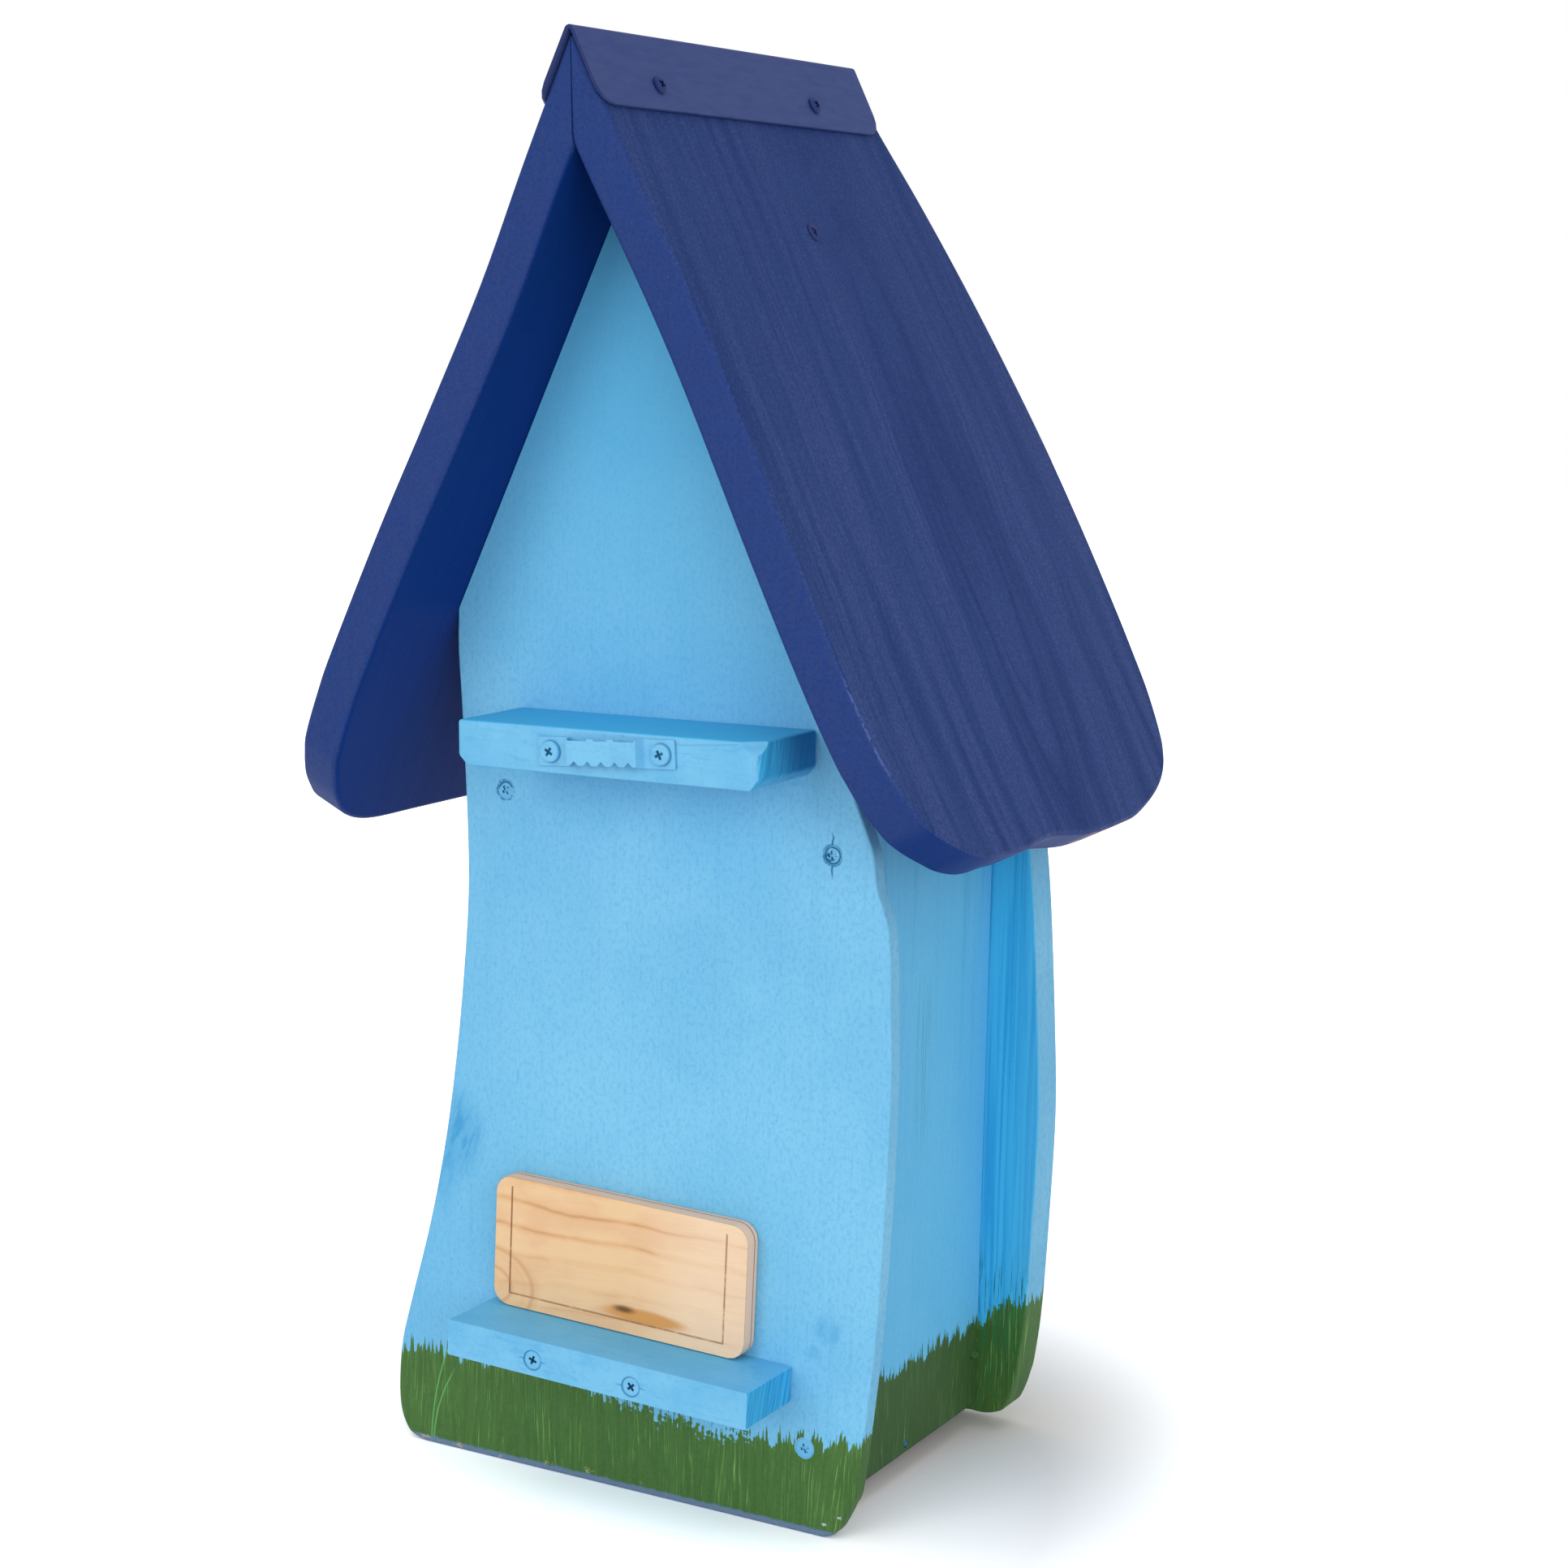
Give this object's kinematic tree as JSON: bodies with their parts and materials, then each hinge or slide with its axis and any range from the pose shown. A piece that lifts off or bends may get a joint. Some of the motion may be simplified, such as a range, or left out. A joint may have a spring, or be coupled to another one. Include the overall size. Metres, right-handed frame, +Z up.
{
  "type": "bird nest box",
  "caption": "Blue painted bird nest box with crooked sides, a steep dark blue roof, a folded ridge cap, a hanging batten and a name plate on its wall side.",
  "frame": {"origin": "centre of the whole box on the ground plane", "axes": "+Z up; the front panel with the entrance hole faces -Y; the batten, ledge and plate on the wall side face +Y; +X is the right of someone who faces the front"},
  "size_m": [0.285, 0.2574, 0.5639],
  "materials": {
    "sky_paint": "brushed satin paint",
    "wall_paint": "brushed satin paint",
    "roof_paint": "brushed satin paint",
    "metal_paint": "brushed satin paint",
    "bare_wood": "sawn",
    "plywood": "sanded",
    "plate_wood": "satin varnish",
    "painted_steel": "brushed satin paint",
    "bare_steel": "zinc plated"
  },
  "bodies": {
    "box": {"back_panel": "sky_paint", "front_panel": "sky_paint", "side_wall_left": "wall_paint", "side_wall_right": "wall_paint", "ridge_beam": "bare_wood", "roof_board_left": "roof_paint", "roof_board_right": "roof_paint", "ridge_cap": "metal_paint", "hanging_batten": "sky_paint", "wall_ledge": "sky_paint", "name_plate": "plate_wood", "sawtooth_hanger": "painted_steel", "pivot_pin_left": "bare_steel", "pivot_pin_right": "bare_steel", "back_screw_left_upper": "painted_steel", "back_screw_left_lower": "painted_steel", "back_screw_right_upper": "painted_steel", "back_screw_right_lower": "painted_steel", "roof_screw_left": "metal_paint", "roof_screw_right": "metal_paint", "cap_screw_left_rear": "metal_paint", "cap_screw_left_front": "metal_paint", "cap_screw_right_rear": "metal_paint", "cap_screw_right_front": "metal_paint", "batten_screw_left": "bare_steel", "batten_screw_right": "bare_steel", "ledge_screw_left": "painted_steel", "ledge_screw_right": "painted_steel", "hanger_screw_left": "painted_steel", "hanger_screw_right": "painted_steel", "front_nail_left_lower": "painted_steel", "front_nail_left_upper": "painted_steel", "front_nail_right_lower": "painted_steel", "front_nail_right_upper": "painted_steel"},
    "floor": {"floor_flap": "plywood"}
  },
  "joints": [
    {"name": "floor_tilt", "type": "hinge", "parent": "box", "child": "floor", "pos_m": [-0.0064, 0.0122, 0.0152], "axis": [1, 0, 0], "range_deg": [-90, 90]}
  ]
}
